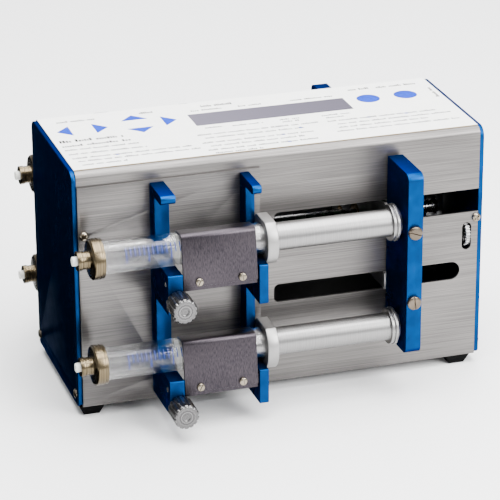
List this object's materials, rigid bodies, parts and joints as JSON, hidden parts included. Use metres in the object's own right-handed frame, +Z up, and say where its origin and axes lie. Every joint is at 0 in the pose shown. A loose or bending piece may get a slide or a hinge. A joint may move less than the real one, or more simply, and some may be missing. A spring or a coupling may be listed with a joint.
{
  "type": "syringe pump",
  "caption": "Bench syringe pump with barrels along both walls, screw-driven pushers through slotted steel walls, hinged barrel retainers, thumb knobs, a keypad and a display on top.",
  "frame": {"origin": "bottom centre of the whole pump's box, on the surface the feet stand on", "axes": "+X from the nozzle end to the drive end, +Y from the front wall to the rear wall, +Z up"},
  "size_m": [0.248, 0.1978, 0.1461],
  "materials": {
    "blue_anodised": "satin",
    "stainless": "brushed",
    "dark_stainless": "brushed",
    "bright_steel": "polished",
    "nickel": "satin",
    "bare_aluminium": "satin",
    "brass": "satin",
    "label": "satin",
    "display": "gloss",
    "dark_plastic": "matte",
    "circuit_board": "satin",
    "motor_black": "satin",
    "black_rubber": "matte",
    "clear_glass": "clear",
    "white_plastic": "satin",
    "key_blue": "satin"
  },
  "bodies": {
    "chassis": {"left_end_plate": "blue_anodised", "right_end_plate": "blue_anodised", "casing_shell": "stainless", "base_plate": "stainless", "mounting_plates": "stainless", "rubber_feet": "black_rubber", "label_overlay": "label", "display_window": "display", "display_module": "dark_plastic", "control_board": "circuit_board", "drive_motor": "motor_black", "drive_bulkhead": "stainless", "screw_bearings": "bright_steel", "end_bearing_block": "bare_aluminium", "guide_rods": "bright_steel", "trim_wheel_bracket": "stainless", "power_inlet": "dark_plastic", "front_left_holder": "blue_anodised", "front_right_holder": "blue_anodised", "rear_left_holder": "blue_anodised", "rear_right_holder": "blue_anodised", "hinge_pins": "bright_steel", "case_screws": "nickel", "holder_screws": "nickel", "syringe_barrels": "clear_glass", "nozzle_caps": "nickel", "nozzle_tips": "white_plastic", "barrel_collars": "bare_aluminium"},
    "carriage": {"carriage": "bare_aluminium", "nut_and_bushes": "brass", "front_pusher": "blue_anodised", "rear_pusher": "blue_anodised", "pusher_screws": "nickel"},
    "screw": {"lead_screw": "bright_steel", "driven_gear": "brass"},
    "pinion": {"motor_pinion": "brass"},
    "plunger_front_upper": {"plunger_front_upper": "bare_aluminium", "seal_front_upper": "white_plastic"},
    "retainer_front_upper": {"retainer_front_upper": "dark_stainless"},
    "knob_front_upper": {"knob_front_upper": "bare_aluminium"},
    "plunger_front_lower": {"plunger_front_lower": "bare_aluminium", "seal_front_lower": "white_plastic"},
    "retainer_front_lower": {"retainer_front_lower": "dark_stainless"},
    "knob_front_lower": {"knob_front_lower": "bare_aluminium"},
    "plunger_rear_upper": {"plunger_rear_upper": "bare_aluminium", "seal_rear_upper": "white_plastic"},
    "retainer_rear_upper": {"retainer_rear_upper": "dark_stainless"},
    "knob_rear_upper": {"knob_rear_upper": "bare_aluminium"},
    "plunger_rear_lower": {"plunger_rear_lower": "bare_aluminium", "seal_rear_lower": "white_plastic"},
    "retainer_rear_lower": {"retainer_rear_lower": "dark_stainless"},
    "knob_rear_lower": {"knob_rear_lower": "bare_aluminium"},
    "rewind_key": {"rewind_key": "key_blue"},
    "advance_key": {"advance_key": "key_blue"},
    "up_key": {"up_key": "key_blue"},
    "down_key": {"down_key": "key_blue"},
    "next_key": {"next_key": "key_blue"},
    "reset_key": {"reset_key": "key_blue"},
    "start_key": {"start_key": "key_blue"},
    "trim_wheel": {"trim_wheel": "bright_steel"}
  },
  "joints": [
    {"name": "carriage_slide", "type": "slide", "parent": "chassis", "child": "carriage", "axis": [1, 0, 0], "range_m": [-0.046, 0.03]},
    {"name": "screw_spin", "type": "hinge", "parent": "chassis", "child": "screw", "pos_m": [0.00205, 0, 0.082], "axis": [1, 0, 0], "range_deg": [-8285, 5405]},
    {"name": "pinion_spin", "type": "hinge", "parent": "chassis", "child": "pinion", "pos_m": [0.00205, 0, 0.0564], "axis": [1, 0, 0], "range_deg": [-16215, 24855]},
    {"name": "plunger_slide_front_upper", "type": "slide", "parent": "chassis", "child": "plunger_front_upper", "axis": [1, 0, 0], "range_m": [-0.046, 0.03]},
    {"name": "plunger_slide_front_lower", "type": "slide", "parent": "chassis", "child": "plunger_front_lower", "axis": [1, 0, 0], "range_m": [-0.046, 0.03]},
    {"name": "plunger_slide_rear_upper", "type": "slide", "parent": "chassis", "child": "plunger_rear_upper", "axis": [1, 0, 0], "range_m": [-0.046, 0.03]},
    {"name": "plunger_slide_rear_lower", "type": "slide", "parent": "chassis", "child": "plunger_rear_lower", "axis": [1, 0, 0], "range_m": [-0.046, 0.03]},
    {"name": "retainer_hinge_front_upper", "type": "hinge", "parent": "chassis", "child": "retainer_front_upper", "pos_m": [-0.0452, -0.0788, 0.0879], "axis": [1, 0, 0], "range_deg": [0, 55]},
    {"name": "retainer_hinge_front_lower", "type": "hinge", "parent": "chassis", "child": "retainer_front_lower", "pos_m": [-0.0452, -0.0788, 0.0251], "axis": [1, 0, 0], "range_deg": [0, 55]},
    {"name": "retainer_hinge_rear_upper", "type": "hinge", "parent": "chassis", "child": "retainer_rear_upper", "pos_m": [-0.0452, 0.0788, 0.0879], "axis": [-1, 0, 0], "range_deg": [0, 55]},
    {"name": "retainer_hinge_rear_lower", "type": "hinge", "parent": "chassis", "child": "retainer_rear_lower", "pos_m": [-0.0452, 0.0788, 0.0251], "axis": [-1, 0, 0], "range_deg": [0, 55]},
    {"name": "knob_turn_front_upper", "type": "hinge", "parent": "chassis", "child": "knob_front_upper", "pos_m": [-0.06965, -0.0851, 0.0791], "axis": [0, -1, 0], "continuous": true},
    {"name": "knob_turn_front_lower", "type": "hinge", "parent": "chassis", "child": "knob_front_lower", "pos_m": [-0.06965, -0.0851, 0.0163], "axis": [0, -1, 0], "continuous": true},
    {"name": "knob_turn_rear_upper", "type": "hinge", "parent": "chassis", "child": "knob_rear_upper", "pos_m": [-0.06965, 0.0851, 0.0791], "axis": [0, 1, 0], "continuous": true},
    {"name": "knob_turn_rear_lower", "type": "hinge", "parent": "chassis", "child": "knob_rear_lower", "pos_m": [-0.06965, 0.0851, 0.0163], "axis": [0, 1, 0], "continuous": true},
    {"name": "rewind_key_press", "type": "slide", "parent": "chassis", "child": "rewind_key", "axis": [0, 0, -1], "range_m": [0, 0.00035], "stiffness_N_per_m": 800, "springref_m": -0.0008},
    {"name": "advance_key_press", "type": "slide", "parent": "chassis", "child": "advance_key", "axis": [0, 0, -1], "range_m": [0, 0.00035], "stiffness_N_per_m": 800, "springref_m": -0.0008},
    {"name": "up_key_press", "type": "slide", "parent": "chassis", "child": "up_key", "axis": [0, 0, -1], "range_m": [0, 0.00035], "stiffness_N_per_m": 800, "springref_m": -0.0008},
    {"name": "down_key_press", "type": "slide", "parent": "chassis", "child": "down_key", "axis": [0, 0, -1], "range_m": [0, 0.00035], "stiffness_N_per_m": 800, "springref_m": -0.0008},
    {"name": "next_key_press", "type": "slide", "parent": "chassis", "child": "next_key", "axis": [0, 0, -1], "range_m": [0, 0.00035], "stiffness_N_per_m": 800, "springref_m": -0.0008},
    {"name": "reset_key_press", "type": "slide", "parent": "chassis", "child": "reset_key", "axis": [0, 0, -1], "range_m": [0, 0.00035], "stiffness_N_per_m": 800, "springref_m": -0.0008},
    {"name": "start_key_press", "type": "slide", "parent": "chassis", "child": "start_key", "axis": [0, 0, -1], "range_m": [0, 0.00035], "stiffness_N_per_m": 800, "springref_m": -0.0008},
    {"name": "trim_wheel_turn", "type": "hinge", "parent": "chassis", "child": "trim_wheel", "pos_m": [0.11375, -0.04, 0.0805], "axis": [1, 0, 0], "continuous": true}
  ],
  "couplings": [
    {"joint": "screw_spin", "follows": "carriage_slide", "rad_per_m": 3141.6},
    {"joint": "pinion_spin", "follows": "carriage_slide", "rad_per_m": -9424.8},
    {"joint": "plunger_slide_front_upper", "follows": "carriage_slide", "ratio": 1},
    {"joint": "plunger_slide_front_lower", "follows": "carriage_slide", "ratio": 1},
    {"joint": "plunger_slide_rear_upper", "follows": "carriage_slide", "ratio": 1},
    {"joint": "plunger_slide_rear_lower", "follows": "carriage_slide", "ratio": 1}
  ]
}
